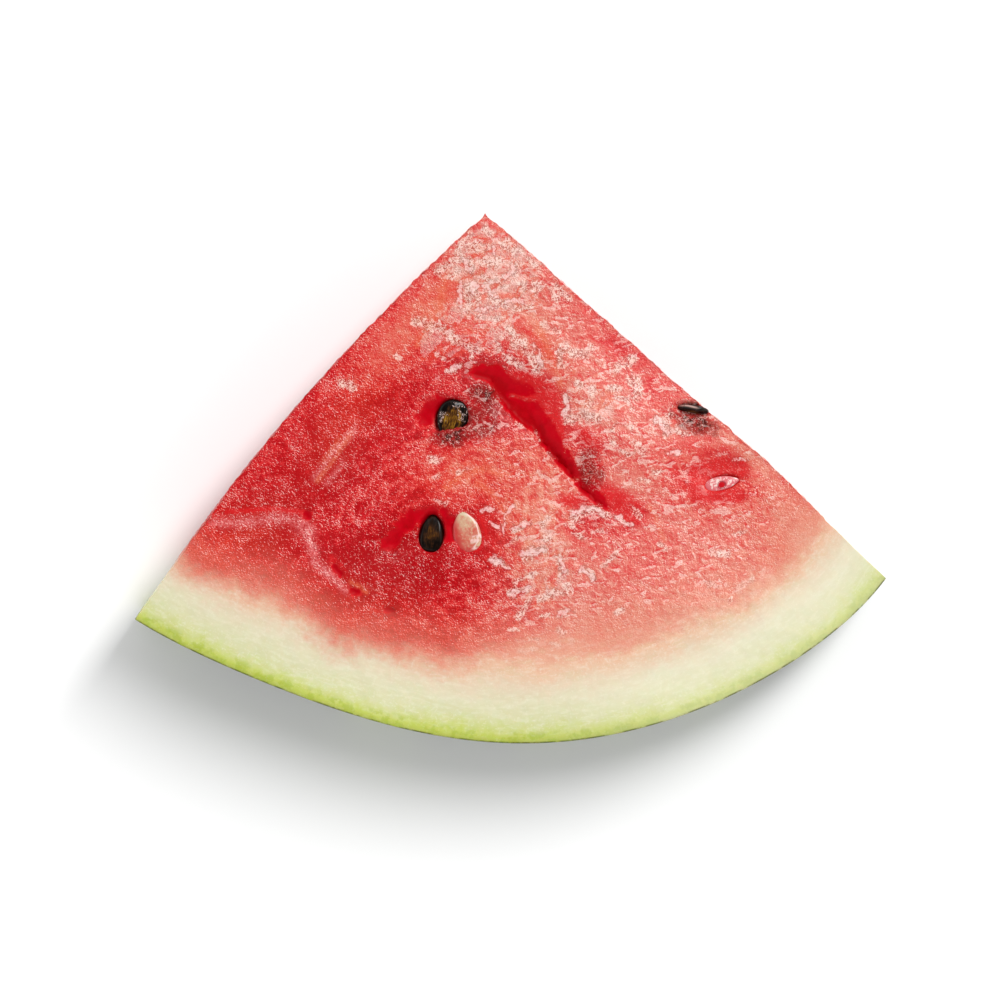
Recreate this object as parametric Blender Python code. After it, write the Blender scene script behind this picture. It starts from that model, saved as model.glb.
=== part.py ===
"""A quarter-round slice of watermelon, lying on its flat lower cut face.

The knife cut the slice square to the melon's axis, and then twice through its heart. The two cut
sides meet in the apex, which points to +Y, and the skin closes the slice as an arc towards -Y. The
upper cut face is uneven: it undulates, a fissure runs across it from the heart, and the seeds lie
in small hollows. The origin is on the floor at the middle of the slice's box. Lengths are metres.
"""

from math import cos, pi, radians, sin

import bmesh
import bpy
import numpy as np
from mathutils import Vector

NAME = "watermelon_slice"

# The slice seen from above. Turns are measured about the apex from straight down (-Y) towards +X.
APEX = (-0.0055, 0.0572)
LEFT_SIDE_TURN = radians(-40.7)
RIGHT_SIDE_TURN = radians(47.65)
# The skin's distance from the apex, at even turns from the left corner to the right one.
SKIN_RADII = (0.1155, 0.1118, 0.1121, 0.1144, 0.1160, 0.1170, 0.1168)

# How far the cut sides bow outwards between the apex and the skin.
LEFT_SIDE_BOW = 0.0036
RIGHT_SIDE_BOW = 0.0005
# A swelling of the right side: its distance from the apex, half its length and its height.
RIGHT_SWELLING = (0.082, 0.017, 0.0009)
# The left side leans, so that its foot stands this far out.
LEFT_SIDE_LEAN = 0.0012

THICKNESS = 0.026
MELON_RADIUS = 0.115
# The melon was fattest at this height of the slice.
EQUATOR_HEIGHT = 0.020

# Broad waves of the upper face: height, wave length, heading and phase of each.
WAVES = (
    (0.00045, 0.074, radians(20), 0.6),
    (0.00035, 0.046, radians(115), 2.1),
    (0.00020, 0.029, radians(70), 4.0),
)
# Round swellings and hollows of the upper face: place, half length, half width, turn and height.
SWELLINGS = (
    ("lip right of the fissure", (0.0215, 0.0125), 0.016, 0.009, radians(-50), 0.0013),
    ("shelf above the fissure", (0.0035, 0.0178), 0.010, 0.006, radians(-15), -0.0022),
    ("hollow of the left seed", (-0.0215, -0.0133), 0.0095, 0.0032, radians(28), -0.0014),
    ("hollow of the seed coat", (0.0450, 0.0022), 0.0075, 0.0036, radians(10), -0.0016),
    ("hollow of the heart seed", (-0.0165, 0.0135), 0.0050, 0.0035, radians(0), -0.0010),
)

# The fissure's left lip runs along these points; to the right it is this wide and this deep.
FISSURE = (
    ((-0.0096, 0.0226), 0.0016, 0.0005),
    ((-0.0068, 0.0215), 0.0036, 0.0010),
    ((-0.0042, 0.0190), 0.0052, 0.0015),
    ((-0.0026, 0.0163), 0.0072, 0.0018),
    ((-0.0001, 0.0130), 0.0080, 0.0020),
    ((0.0035, 0.0102), 0.0062, 0.0022),
    ((0.0058, 0.0084), 0.0046, 0.0024),
    ((0.0077, 0.0054), 0.0040, 0.0025),
    ((0.0098, 0.0024), 0.0036, 0.0025),
    ((0.0130, -0.0004), 0.0030, 0.0022),
    ((0.0151, -0.0030), 0.0024, 0.0017),
    ((0.0190, -0.0058), 0.0016, 0.0010),
    ((0.0215, -0.0070), 0.0008, 0.0004),
)
# Its section from the left lip to the right one: share of the width, and share of the depth.
FISSURE_SECTION = (
    (-0.08, -1.0),
    (0.00, 0.10),
    (0.12, 1.00),
    (0.35, 0.80),
    (0.65, 0.30),
    (1.00, -0.05),
    (1.20, -1.0),
)

# The hollows that hold the seeds: place, length, width, turn of the length from +X, and depth.
SEED_POCKETS = (
    ("heart_seed", (-0.0126, 0.0126), 0.0094, 0.0072, radians(76), 0.0024),
    ("left_seed", (-0.0170, -0.0117), 0.0084, 0.0056, radians(-95), 0.0030),
    ("pale_seed", (-0.0095, -0.0113), 0.0092, 0.0062, radians(-76), 0.0010),
    ("side_seed", (0.0386, 0.0145), 0.0078, 0.0030, radians(-14), 0.0020),
    ("seed_coat", (0.0455, -0.0009), 0.0078, 0.0036, radians(8), 0.0012),
)

GRID_CUTS = 45
LAYER_CUTS = 5

FLESH_COLOUR = (0.62, 0.085, 0.075, 1.0)
FLESH_ROUGHNESS = 0.35


def clear_scene():
    for obj in list(bpy.data.objects):
        bpy.data.objects.remove(obj, do_unlink=True)


def new_collection(name):
    collection = bpy.data.collections.new(name)
    bpy.context.scene.collection.children.link(collection)
    return collection


def flesh_material():
    material = bpy.data.materials.new("watermelon_flesh")
    material.use_nodes = True
    shader = material.node_tree.nodes["Principled BSDF"]
    shader.inputs["Base Color"].default_value = FLESH_COLOUR
    shader.inputs["Roughness"].default_value = FLESH_ROUGHNESS
    shader.inputs["Metallic"].default_value = 0.0
    return material


def skin_radius(share):
    """The skin's distance from the apex where share runs from 0, the left corner, to 1."""
    places = np.linspace(0.0, 1.0, len(SKIN_RADII))
    curve = np.polyfit(places, SKIN_RADII, len(SKIN_RADII) - 1)
    return np.polyval(curve, share)


def dome(x, y, centre, half_length, half_width, turn):
    """A smooth round bump, 1 at its centre and about a third at its half length and width."""
    along = (x - centre[0]) * cos(turn) + (y - centre[1]) * sin(turn)
    across = (y - centre[1]) * cos(turn) - (x - centre[0]) * sin(turn)
    return np.exp(-((along / half_length) ** 2) - (across / half_width) ** 2)


def top_height(x, y):
    """The height of the upper face, before the fissure and the seeds' pockets are cut."""
    height = np.full_like(x, THICKNESS)
    for size, length, heading, phase in WAVES:
        along = x * cos(heading) + y * sin(heading)
        height += size * np.sin(2 * pi * along / length + phase)
    for _, centre, half_length, half_width, turn, size in SWELLINGS:
        height += size * dome(x, y, centre, half_length, half_width, turn)
    return height


def square_to_sector(u, v):
    """Bends the unit square into a quarter disc, and its grid lines evenly with it.

    The corner (0, 0) becomes the apex, v = 0 and u = 0 the left and right cut sides, and u = 1 and
    v = 1 together the skin. The answer is each point's reach from the apex (0) to the skin (1), and
    its share of the way round from the left side (0) to the right side (1).
    """
    across = u * np.sqrt(1 - v**2 / 2)
    along = v * np.sqrt(1 - u**2 / 2)
    return np.hypot(across, along), np.arctan2(along, across) / (pi / 2)


def wedge_points(points):
    """Bends the points of a block that runs from -1 to 1 into the slice."""
    u, v, level = ((points + 1) / 2).T
    reach, share = square_to_sector(u, v)
    turn = LEFT_SIDE_TURN + share * (RIGHT_SIDE_TURN - LEFT_SIDE_TURN)
    radius = reach * skin_radius(share)

    place, half_length, height = RIGHT_SWELLING
    left_bow = LEFT_SIDE_BOW * np.sin(pi * reach) + LEFT_SIDE_LEAN * (1 - level) * reach
    right_bow = RIGHT_SIDE_BOW * np.sin(pi * reach)
    right_bow += height * np.exp(-(((radius - place) / half_length) ** 2))
    sideways = right_bow * share**2 - left_bow * (1 - share) ** 2

    x = APEX[0] + radius * np.sin(turn) + sideways * np.cos(turn)
    y = APEX[1] - radius * np.cos(turn) + sideways * np.sin(turn)
    z = level * top_height(x, y)

    # The skin curves in above and below the melon's equator.
    inwards = reach**2 * (z - EQUATOR_HEIGHT) ** 2 / (2 * MELON_RADIUS)
    x -= inwards * np.sin(turn)
    y += inwards * np.cos(turn)
    return np.stack([x, y, z], axis=1)


def build_wedge(collection, material):
    shape = bmesh.new()
    bmesh.ops.create_cube(shape, size=2.0)
    uprights = [e for e in shape.edges if abs(e.verts[0].co.z - e.verts[1].co.z) > 1]
    bmesh.ops.subdivide_edges(shape, edges=uprights, cuts=LAYER_CUTS, use_grid_fill=True)
    level_edges = [e for e in shape.edges if abs(e.verts[0].co.z - e.verts[1].co.z) < 1e-6]
    bmesh.ops.subdivide_edges(shape, edges=level_edges, cuts=GRID_CUTS, use_grid_fill=True)
    underside = [f for f in shape.faces if all(v.co.z < -0.999 for v in f.verts)]
    bmesh.ops.dissolve_faces(shape, faces=underside, use_verts=False)

    vertices = list(shape.verts)
    places = wedge_points(np.array([v.co[:] for v in vertices]))
    for vertex, place in zip(vertices, places):
        vertex.co = place

    mesh = bpy.data.meshes.new(NAME)
    shape.to_mesh(mesh)
    shape.free()
    mesh.shade_smooth()
    mesh.set_sharp_from_angle(angle=radians(50))
    mesh.materials.append(material)
    wedge = bpy.data.objects.new(NAME, mesh)
    collection.objects.link(wedge)
    return wedge


def face_height(place):
    return float(top_height(np.array([place[0]]), np.array([place[1]]))[0])


def as_cutter(obj):
    obj.hide_render = True
    obj.display_type = "WIRE"
    return obj


def fissure_cutter(collection):
    """A ridge along the fissure, upside down: steep on the left, and rising slowly to the right."""
    lips = np.array([place for place, _, _ in FISSURE])
    headings = np.gradient(lips, axis=0)
    headings /= np.linalg.norm(headings, axis=1)[:, None]
    shape = bmesh.new()
    sections = []
    for (place, width, depth), (run_x, run_y) in zip(FISSURE, headings):
        section = []
        for across, down in FISSURE_SECTION:
            x = place[0] - run_y * width * across
            y = place[1] + run_x * width * across
            section.append(shape.verts.new((x, y, face_height((x, y)) - depth * down)))
        sections.append(section)
    for near, far in zip(sections, sections[1:]):
        for k in range(len(near)):
            following = (k + 1) % len(near)
            shape.faces.new((near[k], far[k], far[following], near[following]))
    shape.faces.new(sections[0])
    shape.faces.new(sections[-1])
    bmesh.ops.recalc_face_normals(shape, faces=shape.faces)
    bmesh.ops.triangulate(shape, faces=shape.faces)
    mesh = bpy.data.meshes.new("fissure_cutter")
    shape.to_mesh(mesh)
    shape.free()
    cutter = bpy.data.objects.new("fissure_cutter", mesh)
    collection.objects.link(cutter)
    return as_cutter(cutter)


def pocket_cutter(collection, name, place, length, width, turn, depth):
    mesh = bpy.data.meshes.new(name)
    shape = bmesh.new()
    bmesh.ops.create_uvsphere(shape, u_segments=16, v_segments=8, radius=1.0)
    bmesh.ops.scale(shape, vec=Vector((length / 2, width / 2, depth)), verts=shape.verts)
    shape.to_mesh(mesh)
    shape.free()
    cutter = bpy.data.objects.new(name, mesh)
    cutter.location = (place[0], place[1], face_height(place))
    cutter.rotation_euler = (0.0, 0.0, turn)
    collection.objects.link(cutter)
    return as_cutter(cutter)


def cut_away(obj, cutter):
    cut = obj.modifiers.new("cut " + cutter.name, "BOOLEAN")
    cut.operation = "DIFFERENCE"
    cut.solver = "EXACT"
    cut.object = cutter


def main():
    clear_scene()
    parts = new_collection(NAME)
    cutters = new_collection("cutters")
    wedge = build_wedge(parts, flesh_material())
    cut_away(wedge, fissure_cutter(cutters))
    for name, place, length, width, turn, depth in SEED_POCKETS:
        pocket = pocket_cutter(cutters, name + "_pocket", place, length, width, turn, depth)
        cut_away(wedge, pocket)


main()
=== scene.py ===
"""The looks of a quarter-round slice of watermelon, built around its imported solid.

The slice lies on its lower cut face with the apex towards +Y and the skin towards -Y. Its visible
mesh is a finer copy of the solid's form with the flesh's relief on it. Lengths are in metres and
turns in radians, but the tables of rows, and the sizes given to noises, bumps and seeds, are in
millimetres, with their turns in degrees.
"""

from itertools import product
from math import cos, pi, radians, sin

import bpy
import numpy as np
from mathutils import Matrix, Vector


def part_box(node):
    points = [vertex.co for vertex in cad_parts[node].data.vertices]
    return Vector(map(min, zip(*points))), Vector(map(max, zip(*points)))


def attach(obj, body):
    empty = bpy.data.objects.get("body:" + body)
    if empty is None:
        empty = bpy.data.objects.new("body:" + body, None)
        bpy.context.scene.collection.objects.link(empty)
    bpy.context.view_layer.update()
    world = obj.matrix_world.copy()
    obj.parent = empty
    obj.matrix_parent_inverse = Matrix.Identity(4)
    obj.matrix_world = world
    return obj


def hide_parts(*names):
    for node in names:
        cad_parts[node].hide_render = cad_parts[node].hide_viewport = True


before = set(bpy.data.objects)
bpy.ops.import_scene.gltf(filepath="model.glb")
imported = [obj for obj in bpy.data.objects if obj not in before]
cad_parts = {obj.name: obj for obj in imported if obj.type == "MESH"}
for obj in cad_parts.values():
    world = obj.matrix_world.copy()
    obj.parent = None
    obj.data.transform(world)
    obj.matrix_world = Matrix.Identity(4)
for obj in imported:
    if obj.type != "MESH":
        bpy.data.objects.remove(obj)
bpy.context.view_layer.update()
NODE = "watermelon_slice"
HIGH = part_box(NODE)[1]
MM = 0.001

# --- The slice's form, with the solid's own sizes ---
APEX = (-5.5 * MM, HIGH.y)
LEFT_SIDE_TURN = radians(-40.7)
RIGHT_SIDE_TURN = radians(47.65)
# The skin's distance from the apex, in equal steps from the left side to the right one.
SKIN_RADII = (0.1155, 0.1118, 0.1121, 0.1144, 0.116, 0.117, 0.1168)
LEFT_SIDE_BOW = 0.0036
RIGHT_SIDE_BOW = 0.0005
RIGHT_SWELLING = (0.082, 0.017, 0.0009)
LEFT_SIDE_LEAN = 0.0012
THICKNESS = 0.026
# The cut ends in a small narrow tip at the apex.
TIP_PINCH = 0.45
TIP_LENGTH = 0.0022
MELON_RADIUS = 0.115
EQUATOR_HEIGHT = 0.02
# The face's slow waves: height, length, heading and phase.
WAVES = ((0.45, 74, 20, 0.6), (0.35, 46, 115, 2.1), (0.2, 29, 70, 4))
# Broad forms on the face: x, y, half length, half width, turn and height.
SWELLINGS = (
    ("lip right of the fissure", 21.5, 12.5, 16, 9, -50, 1.3),
    ("shelf above the fissure", 3.5, 17.8, 10, 6, -15, -2.2),
    ("hollow of the left seed", -21.5, -13.3, 9.5, 3.2, 28, -1.4),
    ("hollow of the seed coat", 45, 2.2, 7.5, 3.6, 10, -1.6),
    ("hollow of the heart seed", -16.5, 13.5, 5, 3.5, 0, -1),
)

# The fissure's lower left lip, from the heart to the skin: x, y, width to the other lip, depth.
FISSURE = (
    (-10.4, 22.6, 1.6, 0.4), (-7.5, 21.9, 3.4, 0.9), (-4.8, 20.7, 4.8, 1.3), (-3.5, 18.1, 7.2, 1.7),
    (-1.3, 15.2, 8.2, 2), (0.7, 12.8, 8, 2.2), (3, 11, 7, 2.3), (5.1, 9.8, 5.4, 2.4),
    (6.2, 7.8, 4.7, 2.4), (8.2, 5.2, 4.2, 2.5), (10.7, 2.7, 3.6, 2.5), (13.2, -0.4, 3.2, 2.2),
    (15.3, -3, 3.2, 1.7), (18.5, -5.5, 2.8, 1.2), (21.2, -7.2, 1.2, 0.5),
)
# How much of that depth the face shows.
FISSURE_SHARE = 0.7
# Ridges of flecks across the fissure, as lines: half width, strength, then each point's x and y.
FISSURE_RIDGES = (
    (0.6, 0.85, 0, 18.1, 3.5, 17.2, 7, 17.6), (0.8, 0.6, 11.8, -0.4, 16, 0),
)

# The pockets of the seeds and of the empty coat: place, length, width, turn and depth.
SEED_POCKETS = {
    "heart": ((-12.6, 12.6), 9.4, 7.2, 76, 2.4),
    "left": ((-17, -11.7), 8.4, 5.6, -95, 3),
    "pale": ((-9.5, -11.3), 9.2, 6.2, -76, 0.6),
    "side": ((39, 14.9), 7.8, 3, -8, 2),
    "coat": ((45.5, -0.9), 7.6, 3.2, 192, 1.2),
}
# How deep the smooth hollows beside the seeds are.
HOLLOW_DEPTH = 0.7
# A film of flesh still lies over the heart seed's lower end, below this line.
FILM_EDGE = ((-16, 10.4), (-8.9, 11.6))

# --- The visible mesh ---
TOP_CELLS = 220
WALL_LAYERS = 40

# --- Looks ---
# Areas of the flesh: x, y, half length, half width, turn, and how much paler it is there.
PALE_BASE = 0.245
PALE_AREAS = (
    ("right half", 40, -8, 42, 26, -40, 0.46),
    ("lower middle", 16, -29, 18, 10, -5, 0.4),
    ("lower right", 42, -25, 14, 8, 20, 0.14),
    ("right edge", 50, 6, 14, 3, -43, 0.34),
    ("right corner", 62, -9, 7, 5, -43, 0.24),
    ("middle", 7, -11, 7, 13, -8, 0.4),
    ("apex", -4, 44, 17, 18, 0, 0.46),
    ("left flank of the apex", -26.5, 28.5, 10, 5, 48, 0.34),
    ("right of the heart", 15, 28, 15, 10, -40, 0.28),
    ("above the fissure", -5, 23.5, 7, 6, 0, -0.44),
    ("left of the fissure", -1, 16, 6, 6, 0, -0.44),
    ("above the seed coat", 34, 8.5, 9, 5, -38, 0.14),
    ("right of the fissure's top", 18, 15, 6, 5, 0, 0.26),
    ("between the fissure and the seed coat", 25, -1, 6, 4, 0, 0.24),
    ("below the fissure's end", 17.5, -17.5, 5, 4, 0, 0.16),
    ("above the seeds", -8, 3, 10, 6, 10, 0.18),
    ("beside the fissure", -2, 2, 6, 6, 0, -0.12),
    ("right of the fissure", 14, 5, 6, 6, 0, -0.2),
    ("below the fissure", 15.5, -9, 8, 4, 0, -0.24),
    ("around the seed coat", 42, -1, 13, 6, 0, -0.3),
    ("left flank", -37, 6.5, 18, 9, 49, -0.36),
    ("between the veins", -29, 6.5, 6, 5, 0, 0.1),
    ("lower left", -40, -22, 18, 8, -20, -0.1),
    ("left corner", -54.5, -10, 8, 6, 0, -0.46),
    ("below the left seed", -24, -18.5, 13, 8, 10, -0.6),
    ("below the pale seed", -2, -23, 6, 9, 0, -0.14),
)
# In the same way, how much more orange the flesh is.
WARM_AREAS = (
    ("left of the fissure's end", 4, -1, 9, 5, -42, 0.9),
    ("heart side", -33, 16, 6, 16, -38, 0.7),
    ("above the seeds", -6.5, 1.5, 14, 6, 5, 1),
    ("middle", 5, -10, 8, 16, -8, 1),
    ("left corner", -62, -15, 14, 8, 20, 0.9),
    ("left of the heart", -17, 37, 4, 12, -42, 0.9),
    ("band right of the heart", 6.5, 29, 4, 9, 32, 0.7),
    ("right corner", 60, -13, 12, 10, -40, 0.6),
    ("around the seed coat", 44, 1, 11, 7, 0, 0.9),
    ("apex", -5, 40, 12, 14, 0, 0.6),
)
# The middle of the rind's fade into the flesh, from the skin, and how it changes with the turn
# about the apex: centre, half width and how much deeper it lies.
RIND_ENDS = 16.8
RIND_WAVES = (
    (-37, 4, -2.4), (-29, 5, 0.9), (-18, 6, -3.1), (-5, 4, -1), (8, 9, 5.2), (24, 8, 2.8),
    (45, 4, 2),
)
# How much longer the rind's fibres are along the skin than across it.
RIND_STREAK = 3.5

# Where wet patches lie on the face, and where they are missing.
GLOSS_AREAS = (
    ("right half", 36, -6, 40, 24, -42, 0.85),
    ("right of the heart", 18, 20, 17, 12, -42, 0.95),
    ("apex", -3, 42, 18, 17, 0, 1),
    ("middle", 8, -17, 10, 16, -10, 0.9),
    ("below the fissure", 19, -8, 6, 3, -5, 0.5),
    ("left seeds' rim", -25, -16.5, 4, 2, 10, 0.3),
    ("beside the fissure", -1, 6, 12, 6, -40, 0.35),
)
DRY_AREAS = (
    ("left of the heart", -18, 36, 3, 13, -42, 0.9),
    ("band right of the heart", 6.5, 29, 3, 8, 32, 0.9),
    ("right corner", 66, -18, 14, 10, -40, 0.5),
)
# Where the cut has torn cells open, in frosted shards that also carry painted highlights.
FROST_GLINT_AREAS = (
    ("apex", -3, 44, 15, 16, 0, 0.7),
    ("left of the heart", -13, 30, 11, 5, 20, 0.6),
    ("right of the fissure", 18, 18, 10, 7, -35, 0.6),
    ("below the side seed", 35, 12, 5, 4, 0, 0.5),
    ("middle", 9, -18, 6, 7, 0, 0.5),
    ("below the fissure's end", 19, -9.5, 6, 3, -10, 0.45),
    ("lower middle", 6, -27, 6, 8, -15, 0.5),
)
# Patches torn open by the cut, frosted and bright with painted highlights, along lines: half width,
# then each point.
FROST_GLINT_PATCHES = (
    # Apex
    (1.1, -9.4, 41.3, -8.9, 35.5), (0.8, -7.2, 40.6, -7.2, 38.1), (0.4, -6.3, 40, -0.8, 41.5),
    (0.8, -4.4, 39.1, -1.2, 37.4), (0.9, 0.5, 43, 1.8, 45.6), (0.9, -8.7, 47.1, -8.3, 44.1),
    (1.3, -5.9, 46.5, -2, 46.5), (1.1, -5.9, 43.4, -2.5, 43), (1.1, -15.4, 44.7, -11.1, 47.7),
    (0.9, -13.2, 43.4, -11.1, 45.2), (1.3, -8.9, 49.9, -5.3, 49.9), (0.9, -1.8, 50.3, 0.5, 49),
    (1.3, 2.7, 41.7, 5.7, 40.9), (0.6, 0.8, 36.6, 4.6, 37), (0.6, -7.6, 34.8, -1.4, 34.6),
    (1.5, -20.1, 33.5, -16.2, 32.9, -13.4, 31.4), (0.9, 8.7, 40.9, 9.8, 38.7),
    (0.9, -12.8, 29.9, -10.2, 29), (1.5, -0.8, 31.4, 1.8, 29), (0.9, 7.2, 33.1, 10, 31.8),
    (0.9, -5.5, 54, -3.8, 52), (0.5, -1.5, 52, 3, 48.2, 6.5, 44.6), (0.7, -8.5, 52.6, -11.5, 49.4),
    (0.7, 9, 42.4, 12.5, 38.6),
    # Around the fissure
    (0.8, -13.2, 30.3, -9.8, 29.2, -6.8, 27.5), (0.8, -3.1, 29.7, -2.5, 28.2),
    (1.2, 3.3, 28.2, 5.7, 24.5), (0.5, -8.5, 27.5, -8.3, 25.8), (1.1, -0.5, 26.2, 2, 24.7),
    (0.9, 11.7, 29, 10.6, 27.1, 10.9, 24.1), (0.5, -13.9, 23.2, -12.2, 23.2, -10.6, 24.7),
    (0.6, 12.2, 17.6, 11.9, 14.6, 11.7, 12), (1.1, 13.2, 12.7, 15.6, 14, 18.6, 12.9),
    (1.1, 17.7, 19.1, 17.1, 15.5), (0.8, 14.7, 20.6, 15.2, 19.8),
    (1.3, 22.9, 24.3, 25.5, 24.9, 26.3, 25.8), (1.3, 26.1, 21.9, 27, 20.2, 27.2, 17.6),
    (0.8, 20.8, 19.4, 23.3, 19.4), (0.6, 22.7, 17.6, 24.8, 17, 26.3, 15.1),
    (0.9, 13.4, 26.9, 15.6, 26.7, 17.3, 28.2), (0.5, 21.8, 10.3, 22.9, 12.3),
    (1.1, 31.1, 12.5, 33.7, 12.9, 33.4, 10.1), (0.6, 34.9, 10.3, 38, 9.5),
    (0.6, 24.2, 11.6, 25.9, 11), (0.6, 21.8, 7.7, 23.8, 6), (0.6, 25.1, 5.2, 26.1, 5.6),
    (0.9, 27, 7.3, 28.9, 5.4), (0.5, 30.6, 1.3, 32.2, 1.5), (0.4, 1, 12.3, 2.7, 11),
    (0.5, 5.3, 10.1, 6.1, 8.2), (0.4, -3.2, 17, -2.4, 15.8), (0.4, 8, 5.6, 9.2, 4.2),
    # Middle
    (1.1, 3.5, -16.8, 6.1, -15.5, 8.1, -11.8), (0.8, 6.8, -10.3, 8.1, -8.6),
    (0.5, 1, -11, 3.1, -10.1), (0.6, -0.1, -13.5, 1.4, -12.7),
    (0.6, 0.5, -22.4, 2.9, -21.3, 5.3, -20.2), (0.8, 10.4, -16.8, 10.9, -20.2),
    (0.6, 15.6, -19.6, 17.1, -19.8, 17.7, -21.5), (1, 13.9, -8.2, 16.5, -6.9, 19, -6.5, 20.5, -8.2),
    (0.4, 20.8, -7.5, 23.3, -8.6, 26.3, -10.3), (0.6, 13, -11.6, 15.2, -12.5),
    (0.5, 17.5, -11.6, 19.7, -11), (0.6, 19.5, -18.9, 21.2, -17.6, 22.7, -15.9),
    (0.5, 11.7, -9.9, 13.7, -10.5), (0.8, 26.3, -6.2, 27.8, -8),
    # Beside the seeds
    (0.9, -3.8, -17.4, -2.5, -17.6), (0.6, -1.4, -18.5, -0.5, -19.1),
    (0.6, -15.8, -4.7, -14.1, -5.4), (0.8, -36.2, 20.6, -35.2, 20.6, -34.1, 19.4),
    (0.5, -16.2, 27.1, -14.1, 25.8), (0.9, -16.9, 4.5, -15.4, 3.9), (0.6, -16.2, 0.4, -15.4, 0.9),
    (0.6, -11.1, 1.3, -8.9, 2.2), (0.5, -24.8, 26.5, -23.5, 25.8),
    # Lower middle
    (0.8, -0.1, -24.5, 1.8, -23.9, 4, -23.2), (0.8, 1.4, -29.7, 3.3, -27.5, 4.4, -26.2),
    (0.5, -0.3, -32.3, 1.4, -32.5), (1.1, 6.3, -26, 8.7, -24.9, 10.9, -24.1, 12.6, -23.4),
    (0.5, 6.6, -29.7, 8.3, -29.2), (0.9, 10.4, -32.3, 11.1, -33.1), (0.6, 8.9, -35.5, 10.4, -35.9),
    (0.5, 4.4, -34.6, 6.1, -34.4), (0.5, 12.6, -35.5, 13.4, -34.8), (0.6, 2.3, -37, 4.8, -36.6),
    # Right half
    (0.8, 43.1, -15.9, 46.6, -16.1), (0.8, 42.3, -22.4, 44.4, -22.8),
    (0.8, 48.7, -23.7, 51.7, -21.5), (0.6, 27.6, 0, 29.8, -0.4), (0.5, 48.1, -12, 50.6, -11.2),
    (0.5, 31.9, -14, 33.7, -14.8), (0.6, 22.5, -28.8, 24.2, -28), (0.5, 46.6, -26.2, 47.4, -25.8),
)
# Painted highlights on smooth ridges of torn flesh, in the same way.
GLINT_RIDGES = (
    (0.45, -10.8, 42.4, -11, 37.4), (0.55, -8.3, 41.9, -8.2, 40.2),
    (0.4, -7.4, 41.6, -4.6, 41.7, -2.5, 42.5), (0.35, -4.8, 41, -2.6, 38.7),
    (0.4, -0.8, 38, 1, 38.5, 2.9, 38.1), (0.75, -0.8, 43.7, 0.4, 45.4),
    (0.5, -9.8, 47.1, -8.9, 44.7), (0.35, -3.9, 49.9, -3.1, 48.4), (0.4, -7.4, 36.3, -3.8, 36.7),
    (0.35, 5.1, 28.9, 6.1, 26.9, 6.5, 24.5), (0.55, 11.8, 17.8, 12.3, 15.7, 11.9, 14),
    (0.4, -12.5, 23.5, -10.6, 24.5), (0.45, 0.8, -10.5, 3.3, -9.8),
    (0.3, 0.3, -6, -1, -8, -1.5, -11.6), (0.5, 11, -17.5, 11.3, -20),
    (0.5, -0.1, -24.9, 3.9, -23.6), (0.55, 2.7, -15.9, 6.8, -15.3), (0.5, 15.5, -19.3, 17.4, -21.4),
    (0.4, 13.2, -7.4, 15.4, -6.5, 17.7, -6.2, 20.3, -7.5), (0.35, 22.5, -8, 26.3, -10.1),
    (0.35, 33.7, 5.4, 36, 5.4), (0.5, 31.3, 13.1, 33.7, 10.2), (0.35, 48.2, 3.9, 50.4, 4.1),
    (0.45, -6.4, -6.7, -3.7, -6.4), (0.4, -4.2, -9.5, -2.6, -10.5), (0.5, -4.2, -17.4, -2.3, -18.2),
    (0.4, -1.5, -18.8, -0.4, -18.9), (0.4, 10.4, -29, 13.2, -28.2),
)
# Veins, as lines: half width, strength, then each point.
PALE_VEINS = (
    (1.1, 0.9, -64, -9.4, -56.5, -9.3, -48.6, -8.3, -44.8, -9.5),
    (1.7, 1.1, -44.8, -9.8, -43.6, -11.2), (1.1, 1.2, -43.6, -11.2, -43, -13.5, -42.4, -15.8),
    (1, 1.2, -42.2, -17.9, -40.5, -19.3, -38.8, -20.6),
    (0.8, 1, -38.8, -20.6, -37, -22.4, -35.6, -24), (0.7, 0.7, -42.2, 0.2, -38.5, 5.2, -34, 10.1),
    (0.6, 0.6, -39.5, -1, -36, 3.5),
)
RED_VEINS = (
    (0.8, 1.1, -61.2, -7.1, -52, -6.4, -45.5, -7), (1.4, 0.9, -38.5, -17.2, -36, -20),
    (0.9, 1.8, -33.3, -24, -32.5, -24.3), (0.8, 1.8, -44.4, -7.3, -44.2, -7.5),
    (0.9, 1.2, -26.4, -28.3, -26.2, -28.4), (2.8, 1.5, 18, -3, 22.5, -4.5, 26.2, -7.5),
    (1.8, 1, 12, -4.5, 15, -5), (2, 1, 15.5, 9.5, 18, 7), (3, 2, 1, 20.5, 5, 19, 8, 17.2),
    (2.2, 1.7, 8.2, 16.5, 9.2, 12, 10, 9.5), (1, 0.7, 0.8, 33.5, 4, 31.4, 7.2, 28.6, 9.6, 24.9),
    (2.2, 0.3, -16.5, 43.5, -12.5, 40), (1.8, 0.7, 20.5, 29.5, 24.5, 27.5),
    (1.4, 1.2, -6.8, -8, -5.5, -11.2, -7.2, -15), (2.2, 0.5, 2, -27.5, 6, -30),
    (3, 0.35, -10, 24, -2, 22.5, 6, 19.5, 8.5, 13), (2.4, 2.2, 42.8, 1.4, 45.5, 2.2, 48.4, 2.4),
    (3, 0.7, 41.5, 5, 47, 5.2), (1.6, 1.5, 39.5, 2, 40, -3.6, 49, -3.6),
    (2, 0.5, 32.5, 6.5, 38.5, 7), (2, 0.7, 35, 2, 37, -2), (2.2, 0.7, -6, -7, -4, -11, -5, -17),
)
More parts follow.
